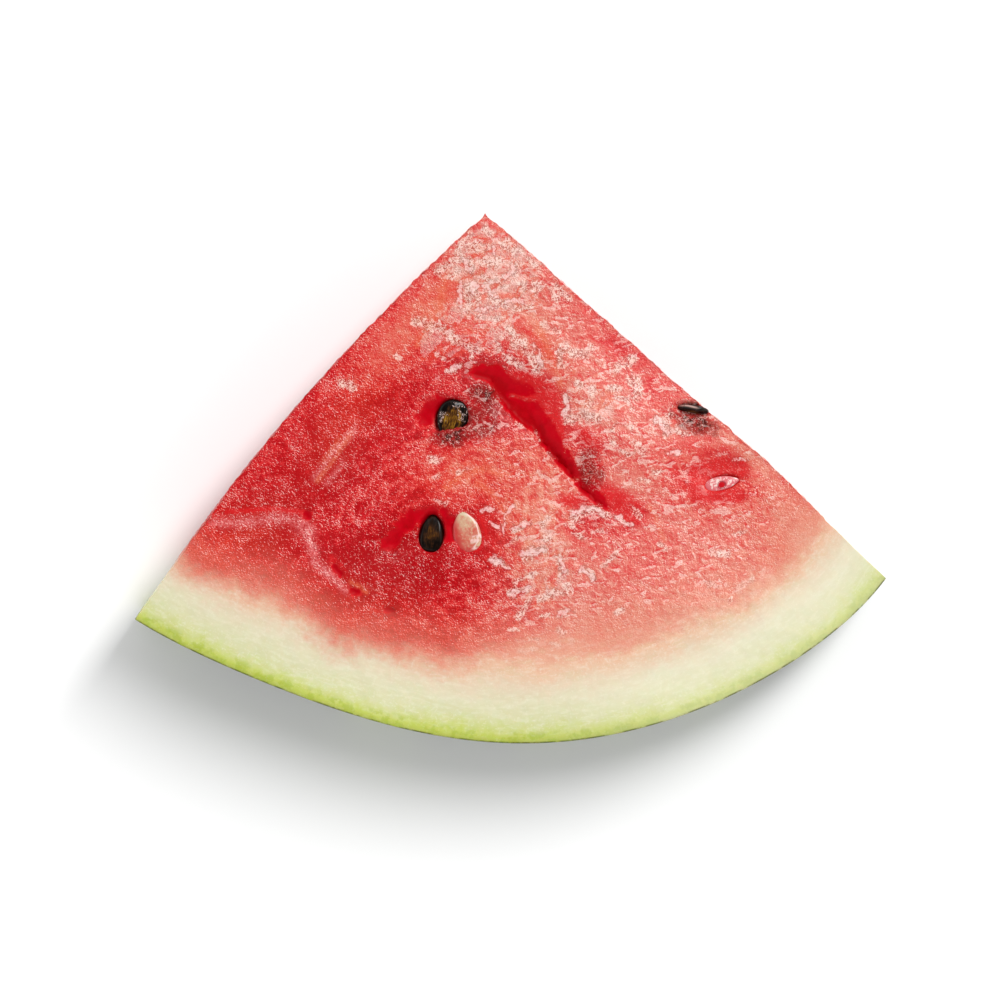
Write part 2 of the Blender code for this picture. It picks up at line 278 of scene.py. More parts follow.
# Fibres that run through the flesh as fine orange lines.
FIBRES = (
    (0.5, 0.8, -34.3, 9.9, -38, 4.5, -41.6, -0.4), (0.5, 0.6, -36.5, 8.8, -40.5, 3.5),
    (0.8, 0.8, -14, -2, -10, 1.2, -5.5, 2.2, -2, 1), (0.7, 0.7, -7, -1, -3, -4, -0.5, -9),
    (0.5, 0.7, 30, -6, 33, -13), (0.5, 0.9, -34.2, -22.1, -31, -24.3),
    (0.9, 0.8, 6, 33, 9, 25, 11, 20), (0.8, 0.8, -14, 44, -15.5, 36, -20, 29),
)
# Smooth deep-red hollows beside the seeds.
HOLLOWS = (
    (2, 1, -17, -7.4, -20.8, -8.3, -24, -10.8, -26.2, -13.8),
    (1.4, 0.9, -14.2, -7, -13.1, -9.5, -13, -12.5), (1.9, 1, -15, 16.5, -17.2, 15, -18.6, 12.8),
    (1, 0.8, -15, 9, -16.8, 10), (1.1, 1, -44, -7.8, -43.6, -8),
    (0.9, 0.9, -37.8, -19.2, -36.6, -20.6), (1.1, 1, -33.6, -24.2, -33, -24.2),
    (0.8, 0.8, -27, -28, -25.6, -28.4),
)
# Seeds that show dark through the flesh, as areas.
BURIED_SEEDS = (
    ("under the heart seed's film", -12.5, 9.2, 4.2, 2, 6, 1.25),
    ("right of the heart seed", -7, 13.6, 3.4, 4.6, 35, 0.4),
    ("left of the fissure", -4, 12.5, 4.5, 6.5, 35, 0.22),
    ("above the fissure's lip", -5.8, 18.4, 2.6, 1.5, -20, 1.15),
    ("right of the fissure", 17.2, 2.4, 2.6, 4.2, 15, 0.9),
    ("under the side seed", 39.6, 12.6, 5.2, 2.4, -24, 1.15),
)
# What the rings in the grain of the flesh run around.
RINGS_CENTRE = (-0.0122, -0.0112)


def noise(points, size, seed):
    """Smooth noise from about -1 to 1, with bumps about size across, at an array of points."""
    cells = points / (size * MM)
    base = np.floor(cells).astype(np.int64)
    inner = cells - base
    fade = inner**3 * (inner * (inner * 6 - 15) + 10)
    random = np.random.default_rng(seed)
    table = random.permutation(256)
    lit_slopes = random.normal(size=(256, 3))
    lit_slopes /= np.linalg.norm(lit_slopes, axis=1)[:, None]
    total = np.zeros(len(points))
    for corner in product((0, 1), repeat=3):
        index = (base + corner) & 255
        code = table[(table[(table[index[:, 0]] + index[:, 1]) & 255] + index[:, 2]) & 255]
        weight = np.prod(np.where(corner, fade, 1 - fade), axis=1)
        total += weight * np.einsum("ij,ij->i", lit_slopes[code], inner - corner)
    return total * 1.6


def flat_noise(x, y, size, seed):
    return noise(np.stack([x, y, np.zeros_like(x)], axis=1), size, seed)


def smoothstep(low, high, value):
    t = np.clip((value - low) / (high - low), 0, 1)
    return t * t * (3 - 2 * t)


def skin_radius(share):
    places = np.linspace(0, 1, len(SKIN_RADII))
    curve = np.polyfit(places, SKIN_RADII, len(SKIN_RADII) - 1)
    return np.polyval(curve, share)


def turned(x, y, centre, turn):
    """Millimetres along and across a direction, from a centre."""
    away_x, away_y = x / MM - centre[0], y / MM - centre[1]
    c, s = cos(radians(turn)), sin(radians(turn))
    return away_x * c + away_y * s, away_y * c - away_x * s


def areas(x, y, listed):
    """The sum of the listed smooth bumps."""
    total = np.zeros(len(x))
    for _, centre_x, centre_y, half_length, half_width, turn, size in listed:
        along, across = turned(x, y, (centre_x, centre_y), turn)
        total += size * np.exp(-((along / half_length) ** 2) - (across / half_width) ** 2)
    return total


def polyline(x, y, points):
    """Millimetres to a line, the side (positive on its left) and the segments passed on the way."""
    x, y = x / MM, y / MM
    nearest = np.full(len(x), np.inf)
    side = np.zeros(len(x))
    along = np.zeros(len(x))
    for k, (a, b) in enumerate(zip(points, points[1:])):
        run = np.subtract(b, a)
        share = np.clip(((x - a[0]) * run[0] + (y - a[1]) * run[1]) / np.hypot(*run) ** 2, 0, 1)
        off_x, off_y = x - a[0] - share * run[0], y - a[1] - share * run[1]
        gap = np.hypot(off_x, off_y)
        closer = gap < nearest
        side = np.where(closer, off_y * run[0] - off_x * run[1], side)
        along = np.where(closer, k + share, along)
        nearest = np.where(closer, gap, nearest)
    return nearest, np.sign(side), along


def pairs(flat):
    return list(zip(flat[::2], flat[1::2]))


def lines(x, y, listed):
    """How near each point is to the listed lines: their strength on them, less beside them."""
    total = np.zeros(len(x))
    for half_width, strength, *flat in listed:
        near = np.exp(-((polyline(x, y, pairs(flat))[0] / half_width) ** 2))
        total = np.maximum(total, strength * near)
    return total


def patches(x, y, listed):
    """How far inside the listed patches: 1 on their middle lines, 0.5 on their edges."""
    total = np.zeros(len(x))
    for half_width, *flat in listed:
        total = np.maximum(total, 1 - polyline(x, y, pairs(flat))[0] / (2 * half_width))
    return total


def fissure(x, y):
    """How deep the fissure is at each point, and how far inside it the point is."""
    steps = np.arange(len(FISSURE))
    gap, side, along = polyline(x, y, [row[:2] for row in FISSURE])
    width, deepest = (np.interp(along, steps, [row[k] for row in FISSURE]) for k in (2, 3))
    wobble = flat_noise(x, y, 3, 41) * 0.35 + flat_noise(x, y, 1.2, 42) * 0.5
    across = gap * side + wobble * smoothstep(0, 2, width)
    wall = smoothstep(0.05, 0.65, across)
    share = np.clip(across / width, 0, 1.5)
    slope = 1 - smoothstep(0, 1, share)
    inside = smoothstep(-0.45, 0.35, across) * (1 - smoothstep(0.82, 1.12, share))
    # Near the lower lip this runs past 1, where the colour darkens into painted shade.
    inside *= (1.35 - 0.8 * np.minimum(share, 1)) * (1 - lines(x, y, FISSURE_RIDGES))
    return FISSURE_SHARE * deepest * wall * slope, inside * smoothstep(0.3, 1, deepest)


def seed_pocket(x, y, name, wall=0.35):
    """How deep a seed's pocket is at each point: a bowl with a steep wall."""
    place, length, width, turn, depth = SEED_POCKETS[name]
    along, across = turned(x, y, place, turn)
    reach = np.hypot(along / (length / 2), across / (width / 2))
    bowl = np.sqrt(np.clip(1 - (reach * (1 - wall)) ** 2, 0, 1))
    drop = depth * bowl * (1 - smoothstep(1 - wall / 2, 1 + wall / 2, reach))
    if name != "heart":
        return drop
    start, end = FILM_EDGE
    run = np.subtract(end, start)
    above = ((y / MM - start[1]) * run[0] - (x / MM - start[0]) * run[1]) / np.hypot(*run)
    above += flat_noise(x, y, 1.4, 43) * 0.5
    return drop * smoothstep(-0.3, 0.3, above)


def hollows(x, y):
    """How far each point is inside the smooth hollows beside the seeds, from 0 to 1."""
    torn = flat_noise(x, y, 1.6, 44) * 0.4 + flat_noise(x, y, 0.9, 45) * 0.15
    near = lines(x, y, HOLLOWS)
    return smoothstep(0.05, 1, near + torn * smoothstep(0, 0.3, near))


def top_height(x, y):
    height = areas(x, y, SWELLINGS)
    for size, length, heading, phase in WAVES:
        along, _ = turned(x, y, (0, 0), heading)
        height += size * np.sin(2 * pi * along / length + phase)
    return THICKNESS + height * MM


def wetness(x, y):
    """How much of the face is in wet patches, from 0 to 1."""
    return np.clip(areas(x, y, GLOSS_AREAS) - areas(x, y, DRY_AREAS), 0, 1)


def top_relief(x, y):
    """What the face has on top of its broad form: lumps, the fissure and the pockets."""
    lumps = flat_noise(x * 0.6, y, 2.6, 11) * 0.22 + flat_noise(x * 0.6, y, 1.3, 12) * 0.09
    calm = flat_noise(x, y, 5, 13) * 0.12 + flat_noise(x, y, 1.6, 14) * 0.04
    drop, inside = fissure(x, y)
    raised = areas(x, y, BURIED_SEEDS) * 0.25
    relief = (lumps * wetness(x, y) + calm + raised) * (1 - np.minimum(inside, 1)) - drop
    relief -= sum(seed_pocket(x, y, name) for name in SEED_POCKETS)
    return relief - hollows(x, y) * HOLLOW_DEPTH


def square_to_sector(u, v):
    across = u * np.sqrt(1 - v**2 / 2)
    along = v * np.sqrt(1 - u**2 / 2)
    return np.hypot(across, along), np.arctan2(along, across) / (pi / 2)


def bend(u, v, level):
    """Places points of a unit block in the slice; level runs from 0, the floor, to 1, the face."""
    reach, share = square_to_sector(u, v)
    turn = LEFT_SIDE_TURN + share * (RIGHT_SIDE_TURN - LEFT_SIDE_TURN)
    radius = reach * skin_radius(share)
    middle = (LEFT_SIDE_TURN + RIGHT_SIDE_TURN) / 2
    turn = middle + (turn - middle) * (1 - TIP_PINCH * np.exp(-((radius / TIP_LENGTH) ** 2)))

    place, half_length, height = RIGHT_SWELLING
    left_bow = LEFT_SIDE_BOW * np.sin(pi * reach) + LEFT_SIDE_LEAN * (1 - level) * reach
    right_bow = RIGHT_SIDE_BOW * np.sin(pi * reach)
    right_bow += height * np.exp(-(((radius - place) / half_length) ** 2))
    spot = np.stack([radius * np.sin(turn), radius * np.cos(turn), level * THICKNESS], axis=1)
    ragged = (noise(spot, 4.5, 21) * 0.24 + noise(spot, 1.3, 22) * 0.26) * MM
    # The cuts are ragged, but not at the apex and hardly in the rind.
    ragged *= smoothstep(0, 0.03, reach) * (1 - smoothstep(0.84, 0.9, reach) * 0.8)
    sideways = (right_bow + ragged) * share**2 - (left_bow + ragged) * (1 - share) ** 2

    x = APEX[0] + radius * np.sin(turn) + sideways * np.cos(turn)
    y = APEX[1] - radius * np.cos(turn) + sideways * np.sin(turn)
    z = level * top_height(x, y)
    inwards = reach**2 * (z - EQUATOR_HEIGHT) ** 2 / (2 * MELON_RADIUS)
    x -= inwards * np.sin(turn)
    y += inwards * np.cos(turn)
    z += level**3 * top_relief(x, y) * MM
    return np.stack([x, y, z], axis=1), reach, share


def block_mesh():
    """A closed block: a fine grid on top, layers of walls, and a grid of half as many cells below.

    It returns each vertex's place in the unit block, the faces, and which faces are skin.
    """
    cells = TOP_CELLS
    half = cells // 2
    steps = np.linspace(0, 1, cells + 1)
    top_u, top_v = np.meshgrid(steps, steps, indexing="ij")
    points = [np.stack([top_u.ravel(), top_v.ravel(), np.ones(top_u.size)], axis=1)]
    top = np.arange((cells + 1) ** 2).reshape(cells + 1, cells + 1)
    corners = [top[:-1, :-1], top[1:, :-1], top[1:, 1:], top[:-1, 1:]]
    quads = [np.stack(corners, axis=2).reshape(-1, 4)]

    # The rim of the top grid, counterclockwise from the apex, and copies of it down the walls.
    above = rim = np.concatenate([top[:-1, 0], top[-1, :-1], top[:0:-1, -1], top[0, :0:-1]])
    rim_points = points[0][rim]
    count = len(rim)
    for layer in range(1, WALL_LAYERS + 1):
        ring = rim_points.copy()
        ring[:, 2] = 1 - layer / WALL_LAYERS
        points.append(ring)
        below = top.size + (layer - 1) * count + np.arange(count)
        quads.append(np.stack([above, below, np.roll(below, -1), np.roll(above, -1)], axis=1))
        above = below
    around = np.arange(count)
    skin = [False] * cells**2 + [*((cells <= around) & (around < 3 * cells))] * WALL_LAYERS

    # The underside: the wall's last ring around a coarser grid.
    low = np.full((half + 1, half + 1), -1)
    low[tuple(np.round(rim_points[::2, :2] * half).astype(int).T)] = above[::2]
    low[1:-1, 1:-1] = above[-1] + 1 + np.arange((half - 1) ** 2).reshape(half - 1, half - 1)
    inner = [(i / half, j / half, 0) for i in range(1, half) for j in range(1, half)]
    middle = {}
    for k in range(1, count, 2):
        ends = (above[k - 1], above[(k + 1) % count])
        middle[ends] = middle[ends[::-1]] = above[k]
    faces = np.concatenate(quads).tolist()
    for i, j in product(range(half), repeat=2):
        corners = (low[i, j], low[i, j + 1], low[i + 1, j + 1], low[i + 1, j])
        face = []
        for a, b in zip(corners, corners[1:] + corners[:1]):
            face += [int(a), int(middle[a, b])] if (a, b) in middle else [int(a)]
        faces.append(face)
    skin += [False] * half**2
    return np.concatenate([*points, inner]), faces, skin


def set_values(mesh, name, values):
    kind = "FLOAT" if values.ndim == 1 else "FLOAT_VECTOR"
    layer = mesh.attributes.new(name, kind, "POINT")
    key = "value" if values.ndim == 1 else "vector"
    layer.data.foreach_set(key, values.astype(np.float32).ravel())


def add_object(name, data):
    piece = bpy.data.objects.new(name, data)
    bpy.context.scene.collection.objects.link(piece)
    return piece


def build_slice(flesh, skin_finish):
    block, faces, skin = block_mesh()
    points, reach, share = bend(*block.T)
    level = block[:, 2]
    x, y, z = points.T
    mesh = bpy.data.meshes.new("melon_slice")
    mesh.from_pydata(points.tolist(), [], faces)
    mesh.materials.append(flesh)
    mesh.materials.append(skin_finish)
    mesh.polygons.foreach_set("material_index", np.array(skin, dtype=np.int32))
    mesh.shade_smooth()
    mesh.set_sharp_from_angle(angle=radians(62))

    face = smoothstep(0.86, 1, level)
    depth = (1 - reach) * skin_radius(share)
    turn = np.degrees(LEFT_SIDE_TURN + share * (RIGHT_SIDE_TURN - LEFT_SIDE_TURN))
    fade = [size * np.exp(-(((turn - centre) / half) ** 2)) for centre, half, size in RIND_WAVES]
    along_skin = radians(1) * turn * skin_radius(share) / RIND_STREAK
    hollowed = ("heart", "left", "coat")
    pockets = [seed_pocket(x, y, name, wall=0.5) / SEED_POCKETS[name][4] for name in hollowed]
    deep = np.maximum.reduce([fissure(x, y)[1], sum(pockets), hollows(x, y) * 0.95])
    bent_x = x + flat_noise(x, y, 1.7, 46) * 0.9 * MM
    bent_y = y + flat_noise(x, y, 1.7, 47) * 0.9 * MM
    to_side = np.minimum(*block[:, :2].T) * TOP_CELLS
    away_x, away_y = x - RINGS_CENTRE[0], y - RINGS_CENTRE[1]
    away = np.hypot(away_x, away_y)
    bearing = np.arctan2(away_y, away_x)
    ringed = smoothstep(6 * MM, 11 * MM, away) * (1 - smoothstep(22 * MM, 30 * MM, away))
    for name, values in {
        "rind_depth": depth / MM,
        "rind_ends": RIND_ENDS + sum(fade),
        "rind_pale": smoothstep(2, 26, turn),
        "rind_place": np.stack([along_skin, depth, z], axis=1),
        "pale": np.clip(PALE_BASE + areas(x, y, PALE_AREAS), -0.12, 1),
        "warm": np.clip(areas(x, y, WARM_AREAS), 0, 1),
        "gloss": wetness(x, y),
        "deep": np.clip(deep, 0, 1.4) * face,
        "dark": np.clip(areas(x, y, BURIED_SEEDS), 0, 1) * face,
        "frost_and_glint": np.clip(areas(x, y, FROST_GLINT_AREAS), 0, 1) * face,
        "veins": lines(x, y, PALE_VEINS) * face,
        "red": lines(x, y, RED_VEINS) * face,
        "fibres": lines(x, y, FIBRES) * face,
        "frost_glints": patches(x, y, FROST_GLINT_PATCHES) * face,
        "ridge_glints": patches(bent_x, bent_y, GLINT_RIDGES) * face,
        "cut_edge": np.clip(1 - to_side, 0, 1) * (level == 1),
        "rings": np.stack([np.cos(bearing) * 8 * MM, np.sin(bearing) * 8 * MM, away], axis=1),
        "ringed": ringed * face,
    }.items():
        set_values(mesh, name, values)
    return add_object("melon_slice", mesh)


def srgb(*display):
    """A colour from its 8-bit display values."""
    shares = [value / 255 for value in display]
    return (*(s / 12.92 if s <= 0.04045 else ((s + 0.055) / 1.055) ** 2.4 for s in shares), 1)


# How bright the studio's light makes a white face that looks up.
FACE_LIGHT = 1.36


def lit(*display):
    """The surface colour that shows these display values on a face that looks up."""
    return (*(value / FACE_LIGHT for value in srgb(*display)[:3]), 1)


# Ramps of colour: how far along, then the display values to show there.
FLESH = (
    (0, 180, 0, 10), (0.15, 206, 4, 22), (0.3, 221, 35, 42), (0.45, 229, 66, 63),
    (0.6, 230, 95, 86), (0.72, 230, 116, 101), (0.85, 235, 141, 124), (1, 244, 170, 154),
)
WARM_RED = lit(232, 64, 44)
WARM_PINK = lit(236, 144, 112)
FROST_GLINT = lit(255, 224, 216)
BRIGHT_FROST_GLINT = lit(254, 224, 212)
STROKE_SHADE = lit(146, 54, 40)
RIDGE_GLINT = lit(252, 212, 207)
EDGE_SHADE = lit(130, 48, 38)
DEEP_RED = lit(204, 0, 22)
SHADED_DEEP_RED = lit(184, 0, 14)
CLEAR_RED = lit(224, 32, 36)
FILM_GLINT_PINK = lit(240, 178, 170)
SHADED_RED = lit(166, 0, 10)
SHADED_PINK = lit(204, 88, 74)
VEIN_PINK = lit(232, 120, 120)
FIBRE = lit(236, 122, 84)
STAIN = lit(150, 26, 26)
BURIED_SEED = lit(70, 22, 16)
RIND = (
    (0, 128, 136, 72), (0.15, 160, 168, 84), (0.5, 186, 196, 90), (1.3, 197, 208, 98),
    (2.2, 207, 215, 122), (3.4, 214, 219, 148), (5.4, 223, 223, 177), (9, 231, 225, 192),
    (12.5, 235, 214, 186), (16, 238, 194, 164), (19, 236, 168, 142),
)
RIND_REACH = 19
RIND_GREEN = lit(166, 184, 62)
RIND_LIGHT = lit(250, 246, 226)
RIND_SHADE = lit(214, 206, 158)
SKIN_LINE = lit(84, 92, 44)
SKIN_GREEN = srgb(72, 96, 44)
SKIN_DARK = srgb(30, 52, 26)
SKIN_PALE = srgb(120, 140, 72)
SHELL = (
    (0, 6, 3, 2), (0.22, 22, 12, 6), (0.42, 48, 26, 12), (0.6, 82, 50, 14), (0.8, 112, 76, 18),
    (1, 146, 108, 34),
)
UNRIPE = (
    (0, 224, 206, 170), (0.28, 220, 176, 144), (0.5, 220, 148, 124), (0.75, 218, 124, 104),
    (1, 216, 102, 86),
)
HIGHLIGHT_LINE_COLOUR = srgb(206, 168, 158)
UNRIPE_EDGE = lit(210, 52, 54)
COAT_PINK = lit(230, 118, 124)
COAT_RIM = lit(150, 20, 40)
COAT_HOLE = (0.15 * MM, 0.3 * MM, 0)
# How far apart the torn cells lie.
SHARD = 3.8
# From one side of a wet swell, a juice cell and a blob to the other: the shifts that paint their
# lit and shaded sides.
PATCH_SHIFT = (-0.28 * MM, -0.3 * MM, 0)
CELL_SHIFT = (-0.095 * MM, -0.105 * MM, 0)
BLOB_SHIFT = (-0.25 * MM, 0.3 * MM, 0)


class Value:
    """A node's output, which can be written in sums: each adds a node."""

    def __init__(self, nodes, socket):
        self.nodes = nodes
        self.socket = socket

    def __add__(self, other):
        return self.nodes.math("ADD", self, other)

    def __sub__(self, other):
        return self.nodes.math("SUBTRACT", self, other)

    def __rsub__(self, other):
        return self.nodes.math("SUBTRACT", other, self)

    def __mul__(self, other):
        return self.nodes.math("MULTIPLY", self, other)

    def __abs__(self):
        return self.nodes.math("ABSOLUTE", self)


class Nodes:
    """The node tree of a material or world: each call adds a node and returns its output."""

    def __init__(self, name, kind="materials", shader="Principled BSDF"):
        self.owner = getattr(bpy.data, kind).new(name)
        self.owner.use_nodes = True
        self.tree = self.owner.node_tree
        self.shader = self.tree.nodes[shader]

    def put(self, socket, value):
        if isinstance(value, Value):
            self.tree.links.new(value.socket, socket)
        else:
            socket.default_value = value

    def node(self, kind, inputs=(), output=0, **settings):
        node = self.tree.nodes.new(kind)
        for name, value in settings.items():
            setattr(node, name, value)
        for key, value in dict(inputs).items():
            self.put(node.inputs[key], value)
        return Value(self, node.outputs[output])

    def math(self, operation, a, b=0, clamp=False):
        return self.node("ShaderNodeMath", {0: a, 1: b}, operation=operation, use_clamp=clamp)

    def larger(self, a, b):
        return self.math("MAXIMUM", a, b)

    def vector(self, operation, inputs, output=0):
        return self.node("ShaderNodeVectorMath", inputs, output, operation=operation)

    def step(self, value, low, high, to_low=0, to_high=1):
        """A smooth step of value from low to high; low may lie above high."""
        names = ("Value", "From Min", "From Max", "To Min", "To Max")
        inputs = zip(names, (value, low, high, to_low, to_high))
        return self.node("ShaderNodeMapRange", inputs, interpolation_type="SMOOTHSTEP")

    def attribute(self, name):
        output = "Vector" if name in ("rings", "seed_place", "rind_place") else "Fac"
        return self.node("ShaderNodeAttribute", output=output, attribute_name=name)

    def place(self, turn=0, stretch=(1, 1, 1), shift=(0, 0, 0)):
        """The object's own coordinates, moved, turned about Z and stretched."""
        where = self.node("ShaderNodeTexCoord", output="Object")
        inputs = {"Vector": where, "Location": shift, "Rotation": (0, 0, turn), "Scale": stretch}
        return self.node("ShaderNodeMapping", inputs, vector_type="TEXTURE")

    def noise(self, vector, size, detail=2, roughness=0.5, distortion=0, output=0):
        """Noise from 0 to 1 with features about size across."""
        names = ("Vector", "Scale", "Detail", "Roughness", "Distortion")
        inputs = zip(names, (vector, 1 / (size * MM), detail, roughness, distortion))
        return self.node("ShaderNodeTexNoise", inputs, output)

    def two_noises(self, shift, size, *look, turn=0, stretch=(1, 1, 1)):
        """A noise, and the same noise moved by a small shift."""
        places = [self.place(turn, stretch, by) for by in ((0, 0, 0), shift)]
        return [self.noise(place, size, *look) for place in places]

    def cells(self, vector, size, feature="F1", output=0):
        inputs = {"Vector": vector, "Scale": 1 / (size * MM)}
        return self.node("ShaderNodeTexVoronoi", inputs, output, feature=feature)

    def warped(self, vector, size, distance):
        """Coordinates pushed about by a noise, by up to half this distance each way."""
        push = self.noise(vector, size, output=1)
        push = self.vector("SUBTRACT", {0: push, 1: (0.5, 0.5, 0.5)})
        push = self.vector("SCALE", {0: push, "Scale": distance * MM})
        return self.vector("ADD", {0: vector, 1: push})

    def mix(self, share, a, b):
        return self.node("ShaderNodeMix", {0: share, 6: a, 7: b}, 2, data_type="RGBA")

    def paint(self, colour, *layers):
        """A colour with others laid over it in turn, each by its share."""
        for share, layer in layers:
            colour = self.mix(share, colour, layer)
        return colour

    def ramp(self, value, stops, colour_of=lit):
        node = self.tree.nodes.new("ShaderNodeValToRGB")
        elements = node.color_ramp.elements
        while len(elements) < len(stops):
            elements.new(0.5)
        for element, (position, *display) in zip(elements, stops):
            element.position = position
            element.color = colour_of(*display)
        self.put(node.inputs[0], value)
        return Value(self, node.outputs[0])

    def bump(self, height, distance, strength=1):
        inputs = {"Height": height, "Distance": distance * MM, "Strength": strength}
        return self.node("ShaderNodeBump", inputs)

    def finish(self, **inputs):
        for name, value in inputs.items():
            self.put(self.shader.inputs[name.replace("_", " ")], value)
        return self.owner


def flesh_material():
    """Wet melon flesh that runs out into the pale rind and the green under the skin."""
    n = Nodes("melon_flesh")
    here = n.place()
    names = ("rind_depth", "deep", "dark", "gloss", "pale", "red", "veins")
    depth, deep, dark, gloss, pale, red, veins = (n.attribute(name) for name in names)
    in_flesh = n.step(depth, 14, 22)

    wander = n.noise(here, 9, 3, 0.55)
    tufts = n.noise(here, 2.4, 4, 0.65)

    # The grain: juice cells of several sizes, and streaks that run in rings around the seeds.
    cells = n.noise(here, 0.8, 3, 0.65, 0.4)
    grain = n.noise(here, 0.42, 2, 0.6)
    mottle = n.noise(here, 2.4, 3, 0.6)
    clouds = n.noise(here, 7, 2, 0.5)
    uneven = mottle - 0.5
    beaded = cells - 0.5
    rings = n.attribute("rings")
    streaks = n.noise(rings, 1.2, 3, 0.6)
    streaks = (streaks - 0.5) * n.attribute("ringed")

    # Flecks of flesh reach a little way into the hollows.
    torn = beaded * 1.5 + uneven * 0.8
    torn = deep + torn * n.step(deep, 0, 0.2)
    open_flesh = n.step(torn, 0.15, 0.6, 1, 0) * in_flesh

    # The rims of the juice cells, lit from one side: painted highlight strokes with painted shade
    # strokes beside them.
    rims = n.two_noises(CELL_SHIFT, 0.45, 2, 0.55, 1.2)
    rim = rims[0] - rims[1]

    # Curls: the level lines of a slow noise, often broken, with a painted highlight on one side and
    # painted shade on the other.
    curl = n.noise(here, 1, 1.5, 0.5, 0.9)
    elsewhere = n.place(shift=(0.02, 0.01, 0))
    broken = n.step(n.noise(elsewhere, 1.3, 2, 0.6), 0.44, 0.56)
    highlight_curl = n.step(abs(curl - 0.545), 0.034, 0.012) * broken
    shade_curl = n.step(abs(curl - 0.465), 0.036, 0.006) * broken

    warm = n.larger(n.attribute("warm"), n.step(depth, 34, 18, 0, 0.7))
    warm *= n.step(mottle + clouds * 0.3, 0.42, 0.8, 0.35, 1)
    tone = pale + (clouds - 0.5) * n.step(pale, 0.3, 0.7, 0.4, 0.16)
    tone += uneven * n.step(pale, 0.3, 0.7, 0.7, 0.36)
    tone += beaded * n.step(pale, 0.3, 0.7, 0.7, 0.34)
    # The rims and the curls add painted highlight and shade; the streaks are the flesh's own.
    tone += rim * n.step(pale, 0.3, 0.8, 1.45, 0.75)
    tone += streaks * 1.3
    tone += highlight_curl * 0.22
    tone += shade_curl * -0.16
    tone += warm * 0.06

    # Wet patches: painted highlights on blobs with soft edges, and slow swells painted lit on one
    # side and shaded on the other; the blobs get painted shade beside them too.
    look = (2, 0.5, 0.8)
    swell = n.two_noises(PATCH_SHIFT, 2, *look, turn=radians(12), stretch=(1.15, 1, 1))
    light_facing = swell[0] - swell[1]
    tone += light_facing * n.step(gloss, 0.05, 0.5, 0.2, 1.3)
    spread = n.noise(n.place(radians(-20), (1.3, 1, 1)), 4, 3, 0.6, 0.4)
    room = gloss * 0.6 + (spread - 0.5) * 1.4
    light_facing -= n.step(room, 0, 0.8, 0.19, 0.07)
    lit_slopes = n.step(light_facing, 0, 0.035)
    look = (2, 0.5, 0.5)
    blob = n.two_noises(BLOB_SHIFT, 1.25, *look, turn=radians(6), stretch=(2, 1, 1))
    limit = (room - 0.5) * 0.14
    blobs = [n.step(b + limit, 0.59, 0.625) for b in blob]
    blob_shade = n.math("SUBTRACT", blobs[1], blobs[0], clamp=True)
    highlight_patch = n.larger(lit_slopes * 0.6, blobs[0])
    highlight_patch *= n.step(rim + (grain - 0.5) * 0.6, -0.16, 0.06, 0.35, 1)
    wet = n.step(gloss + uneven * 0.3, 0.1, 0.4)
    clear = n.step(red, 0.3, 1.1, 1, 0.35)
    wet *= open_flesh * clear
    highlight_patch *= wet
    blob_shade *= wet

    # Frosted shards with clear flesh between them, partly painted highlight, crossed by fine
    # strokes of painted shade.
    frost_and_glint = n.attribute("frost_and_glint")
    bent = n.warped(n.place(radians(35), (1.5, 1, 1)), 3, 4.2)
    bent = n.warped(bent, 0.9, 1.3)
    level = n.node("ShaderNodeSeparateColor", {0: n.cells(bent, SHARD, output=1)})
    gap = n.cells(bent, SHARD, "DISTANCE_TO_EDGE")
    torn_open = n.step(frost_and_glint + uneven * 0.7, 0.38, 0.52)
    between = n.step(gap, 0.11, 0.05) * torn_open
    shard = n.step(level, 0.16, 0.24) * n.step(gap, 0.05, 0.12)
    shard = shard * torn_open * n.step(mottle, 0.34, 0.44, 0.35, 1)
    strokes = n.step(rim + beaded * 0.5, -0.14, 0.02, 0.3, 1)
    squiggles = n.step(abs(curl - 0.5), 0.04, 0.01)
    strokes *= 1 - squiggles * 0.85
    shard = shard * strokes * (open_flesh * clear)

    # The large frosted patches, frost and painted highlight: packed with curls, which thin out
    # towards the ragged edges, with painted shade strokes between the curls.
    curly = n.noise(here, 0.55, 2, 0.55, 1.4)
    ragged = uneven * 1.3 + beaded * 0.8
    frost_glints = n.attribute("frost_glints")
    frost_glints = n.step(frost_glints + ragged * n.step(frost_glints, 0, 0.3), 0.25, 0.85)
    packed = n.step(curly + frost_glints * 0.1, 0.56, 0.64)
    packed *= n.step(frost_glints, 0.02, 0.6) * n.step(mottle, 0.36, 0.58, 0.5, 1)
    shade_strokes = n.step(curly, 0.49, 0.45) * n.larger(frost_glints, shard * 0.6)

    # Painted highlights on smooth ridges of torn flesh, with a line of painted shade around them.
    ridge_glints = n.attribute("ridge_glints")
    ridge_fray = uneven * 0.9 + beaded * 1.3
    ridge_glints += ridge_fray * n.step(ridge_glints, 0, 0.3)
    ridge_glint = n.step(ridge_glints, 0.4, 0.7)
    ridge_shade = n.step(ridge_glints, 0.14, 0.3) * n.step(ridge_glints, 0.5, 0.4)

    tone -= red * n.step(mottle, 0.25, 0.6, 0.5, 0.25)
